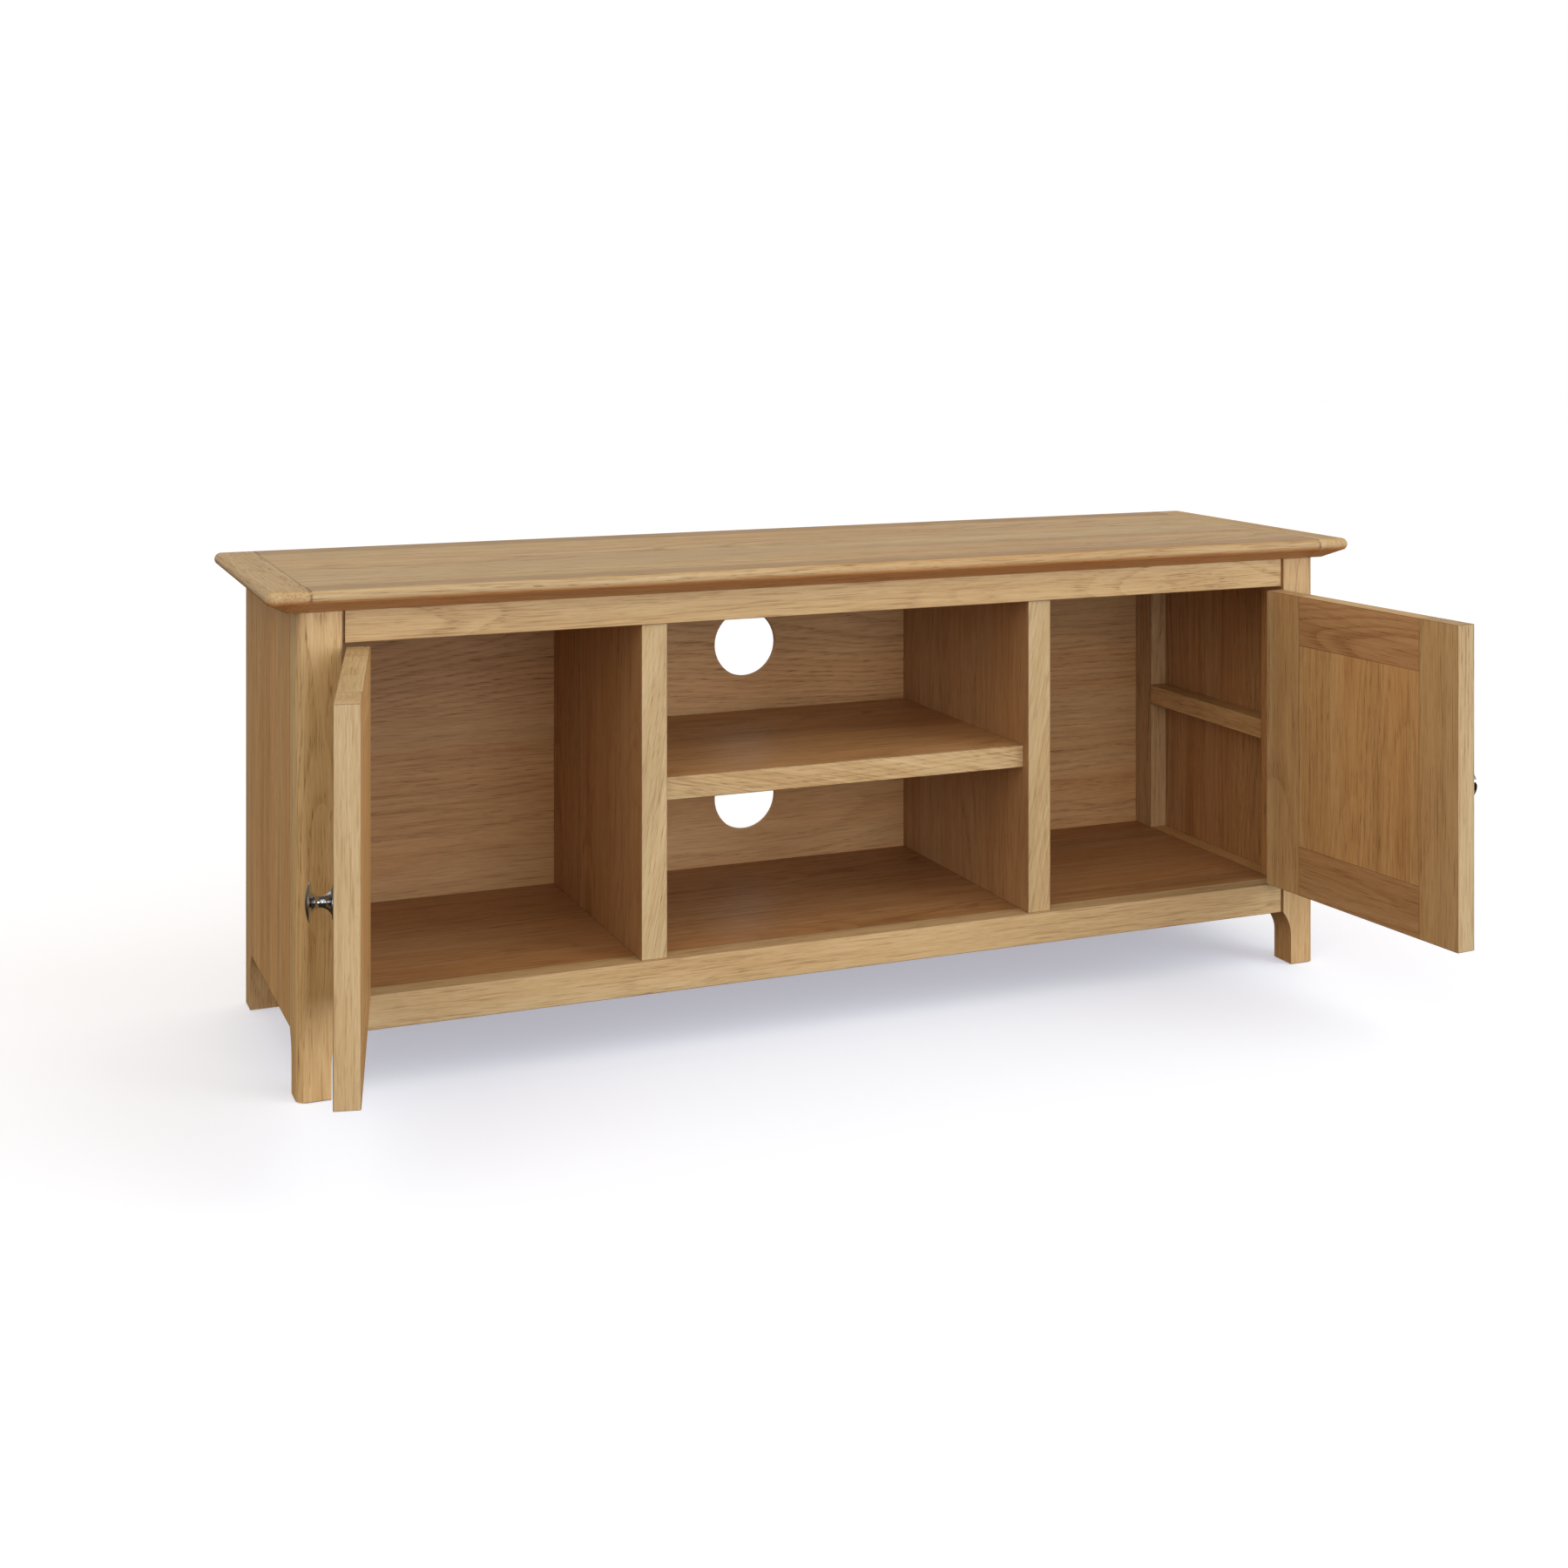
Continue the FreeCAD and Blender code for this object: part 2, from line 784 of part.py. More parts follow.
POST_KNUCKLES = (("0", "knuckle_length"), ("hinge_height - knuckle_length", "hinge_height"))
DOOR_KNUCKLES = (
    ("knuckle_length + knuckle_gap", "hinge_height - knuckle_length - knuckle_gap"),
)

hinge_reliefs = make_hinge_relief()
hinge_pins()
post_screw_places = []
for hinge_side in SIDES:
    post_screw_places += hinge_screw_places(hinge_side, f"{POST_INNER} - leaf_thick", 1)
post_screws, post_screw_holes = screws("hinge_post_screws", HINGE_SCREW, post_screw_places)
node(post_screws, "hinge_post_screws")
for hinge_side, side_word in SIDES.items():
    plates = leaves(
        f"{side_word}_post_leaf",
        hinge_side,
        (f"{POST_INNER} - leaf_thick", POST_INNER),
        POST_KNUCKLES,
    )
    plates = without(f"{side_word}_post_leaves", plates, post_screw_holes)
    node(plates, f"{side_word}_hinge_post_leaves")


# ---------------------------------------------------------------- posts

def post(name, side, front):
    """A post that narrows to a leg below the rails, made from its outer corner at the origin."""
    corner = "post_corner" if front else "back_corner"
    body = doc.addObject("PartDesign::Body", name)
    plan = outline(
        body,
        name + "_plan",
        "XY_Plane",
        [
            (corner, "0"),
            ("post_width", "0"),
            ("post_width", "post_width"),
            ("0", "post_width"),
            ("0", corner),
        ],
        {4: (corner, 1)},
    )
    pad = padded(body, plan, "top_underside")
    width = number("post_width")
    half_height = number("top_underside / 2")
    rounded(
        body,
        pad,
        lambda middle: near(middle.z, half_height)
        and near(middle.x + middle.y, width)
        and near(abs(middle.x - middle.y), width),
        "arris_radius",
    )
    for plane in ("XZ_Plane", "YZ_Plane"):
        arch = outline(
            body,
            f"{name}_arch_{plane[:2].lower()}",
            plane,
            [
                ("leg_width", "0"),
                ("post_width + 2", "0"),
                ("post_width + 2", "rail_underside"),
                ("post_width", "rail_underside"),
                ("leg_width", "arch_start"),
            ],
            {3: ("arch_radius", 1)},
        )
        pocketed_through(body, arch)
    turn = {(LEFT, True): 0, (RIGHT, True): 90, (RIGHT, False): 180, (LEFT, False): 270}
    depth = "0" if front else "body_depth"
    body.setExpression(
        "Placement",
        bound(
            f"placement(vector({side} * half_width; {behind(depth)}; 0);"
            f" rotation(vector(0; 0; 1); {turn[side, front]}))"
        ),
    )
    return body


def make_posts(back_room):
    for side, word in SIDES.items():
        body = post(f"front_{word}_post_body", side, True)
        piece = without(
            f"front_{word}_post", body, rail_dowels, hinge_reliefs[side], post_screw_holes
        )
        node(piece, f"front_{word}_post")
        body = post(f"back_{word}_post_body", side, False)
        piece = without(f"back_{word}_post", body, back_room, rail_dowels, panel_screw_holes)
        node(piece, f"back_{word}_post")


# ---------------------------------------------------------------- carcass

def front_rail(name, low, high, *tools):
    """A rail between the front posts, with a shadow line where it meets each of them."""
    y = (behind("face_recess"), behind(FRAME_BACK))
    rail = box(f"{name}_box", (f"-{POST_INNER}", POST_INNER), y, (low, high))
    face = from_front("face_recess")
    rail = eased(rail, lambda middle: near(middle.y, face) and near(middle.x, 0))
    notches = [
        box(
            f"{name}_{word}_notch",
            across(side, f"{POST_INNER} - shadow_gap", f"{POST_INNER} + 1"),
            (behind("face_recess - 1"), behind("face_recess + shadow_depth")),
            (f"{low} - 1", f"{high} + 1"),
        )
        for side, word in SIDES.items()
    ]
    node(without(name, rail, *notches, *tools), name)


def make_back_rails():
    y = (behind(f"{BACK_FACE} - back_rail_thick"), behind(BACK_FACE))
    x = (f"-{POST_INNER}", POST_INNER)
    upper = box("back_top_rail_box", x, y, ("upper_rail_underside", "top_underside"))
    piece = without("back_top_rail", upper, rail_dowels, panel_screw_holes)
    node(piece, "back_top_rail")
    lower = box("back_bottom_rail_box", x, y, ("rail_underside", "floor_top - floor_thick"))
    node(without("back_bottom_rail", lower, rail_dowels), "back_bottom_rail")


def make_sides():
    """A flush side panel between each pair of posts, with three cleats on its inside."""
    y = (behind("post_width"), behind("body_depth - post_width"))
    seam = "(half_width - side_thick)"
    tools = {
        "lower": (rail_dowels, floor_dowels),
        "middle": (rail_dowels,),
        "upper": (rail_dowels, cleat_screw_holes),
    }
    for side, word in SIDES.items():
        panel = box(
            f"{word}_side_box",
            across(side, seam, "half_width"),
            y,
            ("rail_underside", "top_underside"),
        )
        node(without(f"{word}_side", panel, rail_dowels), f"{word}_side_panel")
        for level, middle in cleat_middles().items():
            cleat = box(
                f"{word}_{level}_cleat_box",
                across(side, f"{seam} - cleat_thick", seam),
                y,
                (f"{middle} - cleat_height / 2", f"{middle} + cleat_height / 2"),
            )
            cleat = without(f"{word}_{level}_cleat", cleat, *tools[level])
            node(cleat, f"{word}_{level}_cleat")


def make_floor():
    floor = box(
        "floor_box",
        (f"-{POST_INNER}", POST_INNER),
        (behind(FRAME_BACK), behind(BACK_FACE)),
        ("floor_top - floor_thick", "floor_top"),
    )
    floor = without("floor", floor, floor_dowels, divider_dowels, panel_screw_holes)
    node(floor, "floor_panel")


def make_dividers():
    """Uprights that stand on the floor and are notched round the upper rails."""
    above = ("upper_rail_underside", "top_underside + 1")
    across_all = (f"-{POST_INNER}", POST_INNER)
    front_notch = box(
        "divider_front_notch", across_all, (behind("-1"), behind(FRAME_BACK)), above
    )
    back_notch = box(
        "divider_back_notch",
        across_all,
        (behind(f"{BACK_FACE} - back_rail_thick"), behind("body_depth")),
        above,
    )
    face = from_front("divider_recess")
    for side, word in SIDES.items():
        board = box(
            f"{word}_divider_box",
            across(side, "divider_near", DIVIDER_FAR),
            (behind("divider_recess"), behind(BACK_FACE)),
            ("floor_top", "top_underside"),
        )
        middle_height = number("(floor_top + top_underside) / 2")
        board = eased(
            board, lambda middle: near(middle.y, face) and near(middle.z, middle_height)
        )
        board = without(
            f"{word}_divider",
            board,
            front_notch,
            back_notch,
            divider_dowels,
            panel_screw_holes,
        )
        node(board, f"{word}_divider")


def make_shelf():
    shelf = box(
        "shelf_box",
        ("-divider_near", "divider_near"),
        (behind("shelf_recess"), behind(BACK_FACE)),
        ("shelf_underside", "shelf_underside + shelf_thick"),
    )
    face = from_front("shelf_recess")
    shelf = eased(shelf, lambda middle: near(middle.y, face) and near(middle.x, 0))
    node(without("shelf", shelf, divider_dowels), "centre_shelf")


def make_back_panel():
    """A thin back in the posts' rebates, with a cable hole in each middle bay."""
    room = box(
        "back_panel_box",
        (f"-({POST_INNER} + back_rebate)", f"{POST_INNER} + back_rebate"),
        (behind(BACK_FACE), behind("body_depth")),
        ("rail_underside", "top_underside"),
    )
    bays = {
        "lower": "(floor_top + shelf_underside) / 2",
        "upper": "(shelf_underside + shelf_thick + upper_rail_underside) / 2",
    }
    holes = []
    for word, height in bays.items():
        hole = doc.addObject("Part::Cylinder", f"{word}_cable_hole")
        hole.setExpression("Radius", bound("cable_hole_radius"))
        hole.setExpression("Height", bound("back_thick + 2"))
        hole.setExpression(
            "Placement",
            bound(
                f"placement(vector(0; {behind('body_depth + 1')}; {height});"
                " rotation(vector(1; 0; 0); 90))"
            ),
        )
        holes.append(hole)
    node(without("back_panel", room, *holes, panel_screw_holes), "back_panel")
    return room


# ---------------------------------------------------------------- catches

def strike_pins():
    """A steel pin for each door's magnet, let into the lower front rail from behind.

    It lies just under the rail's top face, where the floor panel hides its hole.
    """
    across_pin = number(f"{DOOR_LATCH_EDGE} + catch_inset")
    start = from_front(FRAME_BACK)
    height = number("floor_top - strike_cover - strike_radius")
    shape = Part.makeCylinder(number("strike_radius"), number("strike_length"))
    places = [((side * across_pin, start, height), (0, -1, 0)) for side in SIDES]
    return node(group("catch_strike_pins", shape, places), "catch_strike_pins")


# ---------------------------------------------------------------- doors

def swing(side):
    """How a door turns about its pins, from closed to where it stands."""
    angle = "left_opening" if side == LEFT else "right_opening"
    return (
        f"placement(vector(0; 0; 0); rotation(vector(0; 0; 1); {side} * {angle});"
        f" vector({side} * {PIN_X}; {pin_y()}; 0))"
    )


def hung(solid, side, label, closed_place=None):
    """A piece of a door, opened with it."""
    place = swing(side)
    if closed_place:
        place += f" * {closed_place}"
    solid.setExpression("Placement", bound(place))
    return node(solid, label)


def knob(name):
    """A spool of a knob along +Z: a flanged base, a thin waist and a wide domed face."""
    cove_base = "knob_waist_radius + knob_cove"
    flare_top = "knob_waist_place + knob_flare"
    corners = [
        ("0", "0"),
        ("knob_base_radius", "0"),
        ("knob_base_radius", "knob_base_thick"),
        (cove_base, "knob_base_thick"),
        ("knob_waist_radius", "knob_waist_place"),
        ("knob_waist_radius + knob_flare", flare_top),
        ("knob_rim_radius - knob_rim_ease", "knob_rim_low"),
        ("knob_rim_radius", "(knob_rim_low + knob_rim_high) / 2"),
        ("knob_rim_radius - knob_rim_ease", "knob_rim_high"),
        ("knob_flat_radius", "knob_length"),
        ("0", "knob_length"),
    ]
    arcs = {
        3: ("knob_cove", -1),
        4: ("knob_flare", -1),
        8: ("knob_dome", 1),
    }
    return turned(name, corners, arcs)


def make_door(side):
    word = SIDES[side]
    x = across(side, DOOR_LATCH_EDGE, DOOR_HINGE_EDGE)
    y = (behind("face_recess"), behind(DOOR_BACK))
    z = (DOOR_BOTTOM, DOOR_TOP)
    blank = eased(box(f"{word}_door_box", x, y, z), lambda middle: True)

    hinge_line = f"({DOOR_HINGE_EDGE} - stile_width)"
    latch_line = f"({DOOR_LATCH_EDGE} + stile_width)"
    head_line = f"({DOOR_TOP} - stile_width)"
    foot_line = f"({DOOR_BOTTOM} + stile_width)"
    middle = "(face_recess + door_thick - panel_thick / 2)"
    tongue_x = across(side, f"{latch_line} - tongue_length", f"{hinge_line} + tongue_length")
    tongue_y = (behind(f"{middle} - tongue_thick / 2"), behind(f"{middle} + tongue_thick / 2"))
    head_tongue = box(
        f"{word}_head_tongue", tongue_x, tongue_y, (head_line, f"{DOOR_TOP} - tongue_length")
    )
    foot_tongue = box(
        f"{word}_foot_tongue", tongue_x, tongue_y, (f"{DOOR_BOTTOM} + tongue_length", foot_line)
    )
    panel_tongue = box(
        f"{word}_panel_tongue",
        tongue_x,
        tongue_y,
        (f"{foot_line} - tongue_length", f"{head_line} + tongue_length"),
    )

    depth = from_front("face_recess + door_thick / 2")
    magnet = doc.addObject("Part::Feature", f"{word}_magnet")
    magnet.Shape = Part.makeCylinder(
        number("magnet_radius"),
        number("magnet_length"),
        FreeCAD.Vector(
            side * number(f"{DOOR_LATCH_EDGE} + catch_inset"),
            depth,
            number(f"{DOOR_BOTTOM} - magnet_proud"),
        ),
    )
    stud = doc.addObject("Part::Cylinder", f"{word}_stud")
    stud.setExpression("Radius", bound("stud_radius"))
    stud.setExpression("Height", bound("stud_length"))
    knob_x = f"{side} * ({DOOR_LATCH_EDGE} + knob_inset)"
    facing = "rotation(vector(1; 0; 0); 90)"
    knob_place = (
        f"placement(vector({knob_x}; {behind('face_recess')}; knob_height); {facing})"
    )
    stud_place = (
        f"placement(vector({knob_x}; {behind('face_recess + stud_length / 2')}; knob_height);"
        f" {facing})"
    )
    stud.setExpression("Placement", bound(stud_place))

    leaf_screws, leaf_screw_holes = screws(
        f"{word}_door_leaf_screws",
        HINGE_SCREW,
        hinge_screw_places(side, f"{DOOR_HINGE_EDGE} + leaf_thick", -1),
    )

    for name, low, high, tools in (
        ("hinge_stile", hinge_line, DOOR_HINGE_EDGE, (hinge_reliefs[side], leaf_screw_holes)),
        ("latch_stile", DOOR_LATCH_EDGE, latch_line, (stud, magnet)),
    ):
        room = box(f"{word}_{name}_room", across(side, low, high), y, z)
        stile = within(f"{word}_{name}_whole", blank, room)
        stile = without(
            f"{word}_{name}", stile, head_tongue, foot_tongue, panel_tongue, *tools
        )
        hung(stile, side, f"{word}_door_{name}")
    between = across(side, latch_line, hinge_line)
    for name, span, tongue in (
        ("top_rail", (head_line, DOOR_TOP), head_tongue),
        ("bottom_rail", (DOOR_BOTTOM, foot_line), foot_tongue),
    ):
        room = box(f"{word}_{name}_room", between, y, span)
        rail = within(f"{word}_{name}_whole", blank, room)
        rail = fused(f"{word}_{name}_tongued", [rail, tongue])
        rail = without(f"{word}_{name}", rail, panel_tongue)
        hung(rail, side, f"{word}_door_{name}")
    panel = box(
        f"{word}_panel_box",
        between,
        (behind(f"{DOOR_BACK} - panel_thick"), behind(DOOR_BACK)),
        (foot_line, head_line),
    )
    panel = fused(f"{word}_panel_tongued", [panel, panel_tongue])
    hung(panel, side, f"{word}_door_panel")

    plates = leaves(
        f"{word}_door_leaf",
        side,
        (DOOR_HINGE_EDGE, f"{DOOR_HINGE_EDGE} + leaf_thick"),
        DOOR_KNUCKLES,
    )
    plates = without(f"{word}_door_leaves", plates, leaf_screw_holes)
    hung(plates, side, f"{word}_hinge_door_leaves")

    turned_knob = knob(f"{word}_knob_body")
    turned_knob.setExpression("Placement", bound(knob_place))
    hung(without(f"{word}_knob", turned_knob, stud), side, f"{word}_knob")

    for solid, label in (
        (leaf_screws, f"{word}_hinge_door_screws"),
        (stud, f"{word}_knob_stud"),
        (magnet, f"{word}_catch_magnet"),
    ):
        copy = doc.addObject("Part::Compound", label + "_hung")
        copy.Links = [solid]
        hung(copy, side, label)


# ---------------------------------------------------------------- assembly

make_top()
strikes = strike_pins()
front_rail(
    "front_top_rail",
    "upper_rail_underside",
    "top_underside",
    rail_dowels,
    divider_dowels,
)
front_rail(
    "front_bottom_rail",
    "rail_underside",
    "floor_top",
    rail_dowels,
    floor_dowels,
    divider_dowels,
    strikes,
)
make_posts(make_back_panel())
make_back_rails()
make_sides()
make_floor()
make_dividers()
make_shelf()
for door_side in SIDES:
    make_door(door_side)
doc.recompute()


# ---------------------------------------------------------------- export

def check_document():
    """Stop at any object that failed to build and any piece that isn't sound."""
    for item in doc.Objects:
        if {"Invalid", "Error"} & set(item.State):
            raise RuntimeError(f"{item.Name} failed: {item.State}")
    for piece in nodes:
        if piece.Shape.isNull() or not piece.Shape.isValid() or not piece.Shape.Solids:
            raise RuntimeError(f"{piece.Label} has no sound solid")


def export_pieces():
    os.makedirs("parts", exist_ok=True)
    for piece in nodes:
        piece.Shape.exportStep(f"parts/{piece.Label}.step")
        solids = piece.Shape.Solids
        volume = sum(solid.Volume for solid in solids) / 1000
        print(f"{piece.Label:28s} {len(solids):3d} solids {volume:9.2f} cm3")


check_document()
export_pieces()
print(f"{len(nodes)} pieces")
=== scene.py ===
"""The media cabinet's looks: lacquered oak boards, chrome knobs and satin steel hinges."""
import json
import math
import random

import bpy
from mathutils import Matrix, Vector

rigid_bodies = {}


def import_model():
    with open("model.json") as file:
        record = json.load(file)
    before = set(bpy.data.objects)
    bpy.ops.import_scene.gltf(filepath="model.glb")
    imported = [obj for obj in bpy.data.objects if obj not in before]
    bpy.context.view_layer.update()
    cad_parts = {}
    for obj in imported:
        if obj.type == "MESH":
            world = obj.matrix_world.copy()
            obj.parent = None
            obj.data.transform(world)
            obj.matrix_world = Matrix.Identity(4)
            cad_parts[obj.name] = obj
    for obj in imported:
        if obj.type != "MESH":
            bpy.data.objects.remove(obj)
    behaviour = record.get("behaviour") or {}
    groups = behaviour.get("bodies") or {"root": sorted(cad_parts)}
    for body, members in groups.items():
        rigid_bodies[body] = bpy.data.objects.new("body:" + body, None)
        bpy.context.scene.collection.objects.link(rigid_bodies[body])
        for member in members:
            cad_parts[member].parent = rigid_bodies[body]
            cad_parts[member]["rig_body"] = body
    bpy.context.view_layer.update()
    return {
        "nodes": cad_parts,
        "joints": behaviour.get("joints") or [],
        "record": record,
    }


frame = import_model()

MM = 0.001
X_AXIS = Vector((1, 0, 0))
Y_AXIS = Vector((0, 1, 0))
Z_AXIS = Vector((0, 0, 1))


# ---------------------------------------------------------------- doors' directions

def door_turn(side):
    """How far the joint has turned a door, from closed to its rest pose."""
    joint = [j for j in frame["joints"] if j["name"] == f"{side}_door_hinge"][0]
    closed = math.radians(joint["range_deg"][0])
    return Matrix.Rotation(-closed, 3, Vector(joint["axis"]))


DOOR_TURNS = {side: door_turn(side) for side in ("left", "right")}


def turned_with(node, direction):
    """A direction of a closed cabinet, as it is at rest on this node."""
    for side, turn in DOOR_TURNS.items():
        if frame["nodes"][node]["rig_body"] == f"{side}_door":
            return turn @ direction
    return direction


def span(node, direction):
    """The node's lowest and highest place along a direction."""
    places = [vertex.co.dot(direction) for vertex in frame["nodes"][node].data.vertices]
    return min(places), max(places)


# ---------------------------------------------------------------- shader building

class Shader:
    """A material's node tree, and short ways to add to it."""

    def __init__(self, name):
        self.material = bpy.data.materials.new(name)
        self.material.use_nodes = True
        self.tree = self.material.node_tree
        self.surface = self.tree.nodes["Principled BSDF"]

    def add(self, kind, **settings):
        node = self.tree.nodes.new(kind)
        for name, value in settings.items():
            setattr(node, name, value)
        return node

    def link(self, source, target):
        """Join an output to an input, or set the input to a plain value."""
        if isinstance(source, bpy.types.NodeSocket):
            self.tree.links.new(source, target)
        else:
            target.default_value = source

    def math(self, operation, first, second=0.0, third=0.0):
        node = self.add("ShaderNodeMath", operation=operation)
        for socket, value in zip(node.inputs, (first, second, third)):
            self.link(value, socket)
        return node.outputs[0]

    def vector(self, operation, first, second):
        node = self.add("ShaderNodeVectorMath", operation=operation)
        self.link(first, node.inputs[0])
        self.link(second, node.inputs[1])
        name = "Value" if operation in ("DOT_PRODUCT", "LENGTH") else "Vector"
        return node.outputs[name]

    def facing(self):
        """The way a face looks, in the piece's own frame, so that it turns with the piece."""
        turn = self.add("ShaderNodeVectorTransform", vector_type="NORMAL")
        turn.convert_from = "WORLD"
        turn.convert_to = "OBJECT"
        self.link(self.add("ShaderNodeNewGeometry").outputs["True Normal"], turn.inputs[0])
        return turn.outputs[0]

    def combine(self, x, y, z):
        node = self.add("ShaderNodeCombineXYZ")
        for socket, value in zip(node.inputs, (x, y, z)):
            self.link(value, socket)
        return node.outputs[0]

    def noise(self, place, scale, detail=2.0, roughness=0.5):
        """Noise from 0 to 1; scale is a number of repeats to a metre along each axis."""
        stretched = self.vector("MULTIPLY", place, scale)
        node = self.add("ShaderNodeTexNoise")
        self.link(stretched, node.inputs["Vector"])
        node.inputs["Scale"].default_value = 1.0
        node.inputs["Detail"].default_value = detail
        node.inputs["Roughness"].default_value = roughness
        return node.outputs["Fac"]

    def step(self, value, low, high, to_low=0.0, to_high=1.0):
        """A smooth step from to_low, where the value is low, to to_high."""
        node = self.add("ShaderNodeMapRange", interpolation_type="SMOOTHSTEP")
        for name, number in (
            ("Value", value),
            ("From Min", low),
            ("From Max", high),
            ("To Min", to_low),
            ("To Max", to_high),
        ):
            self.link(number, node.inputs[name])
        return node.outputs["Result"]

    def ramp(self, value, stops):
        """A colour from a list of (place, colour), the first and last of which hold the ends."""
        node = self.add("ShaderNodeValToRGB")
        elements = node.color_ramp.elements
        while len(elements) < len(stops):
            elements.new(0.5)
        for element, (place, colour) in zip(elements, stops):
            element.position = place
            element.color = colour
        self.link(value, node.inputs["Fac"])
        return node.outputs["Color"]

    def mix(self, share, first, second, blend="MIX"):
        node = self.add("ShaderNodeMix", data_type="RGBA", blend_type=blend)
        self.link(share, node.inputs["Factor"])
        self.link(first, node.inputs["A"])
        self.link(second, node.inputs["B"])
        return node.outputs["Result"]

    def bump(self, height, distance):
        node = self.add("ShaderNodeBump")
        self.link(height, node.inputs["Height"])
        node.inputs["Distance"].default_value = distance
        return node.outputs["Normal"]


# ---------------------------------------------------------------- oak

# From the darkest pore to the palest latewood, as (place on the ramp, colour)
OAK_RAMP = (
    (0.00, (0.205, 0.108, 0.046, 1.0)),
    (0.30, (0.350, 0.213, 0.102, 1.0)),
    (0.58, (0.500, 0.340, 0.176, 1.0)),
    (1.00, (0.680, 0.520, 0.320, 1.0)),
)
OAK_PORE = (0.120, 0.058, 0.024, 1.0)
RUDDY = (1.0, 0.90, 0.80, 1.0)

# Growth rings: how far apart, how far the pith strays along the tree, how far they ripple, and
# how much their spacing varies
RING = 4.6 * MM
PITH_STRAY = 85 * MM
RIPPLE_HEIGHT = 13 * MM
RING_UNEVENNESS = 2.4

# How often each pattern repeats to a metre: along the grain, and twice across it
PITH_WANDERS = (1.3, 2.0, 2.0)
RIPPLES = (5.0, 12.0, 12.0)
FIGURE = (1.7, 9.0, 9.0)
FIBRES = (22.0, 620.0, 620.0)
BANDS = (7.0, 260.0, 260.0)
DASHES = (18.0, 640.0, 640.0)
STREAKS = (1.6, 48.0, 48.0)
CLOUDS = (1.5, 7.0, 7.0)
PORES = (60.0, 1150.0, 1150.0)
RUDDY_PATCHES = (0.9, 13.0, 13.0)
WAVES = (2.2, 5.0, 5.0)
WAVE_HEIGHT = 18 * MM

# How much each pattern lightens or darkens the wood, as a share of the ramp
FIBRE_WEIGHT = 0.46
STREAK_WEIGHT = 0.46
CLOUD_WEIGHT = 0.26
DASH_WEIGHT = -0.20
STRIP_WEIGHT = 0.09

# Plain wood's place on the ramp, how far boards stray from it, and end grain's difference
MIDDLE_TONE = 0.63
TONE_SPREAD = 0.03
END_GRAIN_TONE = -0.06

# A glued-up board's strips: how far each is shifted along its grain, and across it in widths
STRIP_SHIFT = 5.0
STRIP_SIDESTEP = 1.6

# How much of the dark colour shows in a pore and at a joint, and how wide a joint's line is
PORE_SHARE = 0.55
JOINT_SHARE = 0.7
JOINT = 1.1 * MM
WIDE_JOINT = 2.2 * MM

# The strip along a front edge: its tone, how its grain slants, and its stain
LIP_TONE = 0.07
LIP_SLANT = 0.22
LIP_STAIN = (0.94, 1.02, 1.07, 1.0)

# Lacquer: its roughness, how that varies in the pores and in clouds, its shine and its relief
ROUGHNESS = 0.50
PORE_ROUGHNESS = 0.22
CLOUD_ROUGHNESS = 0.16
LACQUER_SPECULAR = 0.30
RELIEF = 0.05 * MM
FIBRE_RELIEF = 0.35

# How boards differ from plain oak in colour, with some kept for painted light and shade
PLAIN = (1.0, 1.0, 1.0, 1.0)
PALE = (1.10, 1.15, 1.17, 1.0)
# Paler, as painted light: it lifts the shade that the open left door casts on the front left post
PAINTED_LIGHT_PALE = (1.13, 1.23, 1.30, 1.0)
LINEN = (1.00, 1.12, 1.24, 1.0)
SANDY = (1.06, 1.00, 0.94, 1.0)
ASHEN = (0.93, 1.02, 1.13, 1.0)
DRIFTWOOD = (0.97, 1.08, 1.24, 1.0)
TAWNY = (1.07, 0.98, 0.87, 1.0)
HONEY = (0.95, 0.78, 0.66, 1.0)
RUSSET = (0.86, 0.74, 0.70, 1.0)
UMBER = (0.80, 0.64, 0.55, 1.0)
# Darker and warmer, as painted shade, for the top's faces that look down
UNDERSIDE_SHADE = (1.04, 0.76, 0.60, 1.0)
# Darker and cooler, as painted shade, for the top rails' faces that look up
TOP_FACE_SHADE = (0.79, 0.83, 0.94, 1.0)
# Warmer, as painted shade, for the left door's faces towards the cabinet's middle
DOOR_INNER_SHADE = (1.03, 0.90, 0.76, 1.0)


class Board:
    """Where a board's grain runs, and its box along its own three directions."""

    def __init__(self, node, along, wide):
        self.node = node
        self.along = turned_with(node, along)
        self.wide = turned_with(node, wide)
        self.thick = self.along.cross(self.wide)
        self.ways = (self.along, self.wide, self.thick)
        spans = [span(node, way) for way in self.ways]
        self.centres = [(low + high) / 2 for low, high in spans]
        self.halves = [(high - low) / 2 for low, high in spans]
        self.rng = random.Random(node)


def nearest_edge(shader, places, board):
    """How far a point of a board's surface is from its nearest edge."""
    gaps = []
    for place, centre, half in zip(places, board.centres, board.halves):
        off = shader.math("ABSOLUTE", shader.math("SUBTRACT", place, centre))
        gaps.append(shader.math("SUBTRACT", half, off))
    low = shader.math("MINIMUM", gaps[0], gaps[1])
    high = shader.math("MAXIMUM", gaps[0], gaps[1])
    return shader.math("MAXIMUM", low, shader.math("MINIMUM", high, gaps[2]))


def strips(shader, u, v, width, rng):
    """Shift the grain in each strip of a glued-up board: its places, and a number for its tone."""
    strip = shader.math("FLOOR", shader.math("DIVIDE", v, width))
    chance = shader.add("ShaderNodeTexWhiteNoise", noise_dimensions="1D")
    shader.link(shader.math("ADD", strip, rng.uniform(0, 100)), chance.inputs["W"])
    pick = shader.math("SUBTRACT", chance.outputs["Value"], 0.5)
    u = shader.math("MULTIPLY_ADD", pick, STRIP_SHIFT, u)
    middle = shader.math("MULTIPLY", shader.math("ADD", strip, 0.5), width)
    v = shader.math("SUBTRACT", v, middle)
    v = shader.math("MULTIPLY_ADD", pick, width * STRIP_SIDESTEP, v)
    return u, v, pick


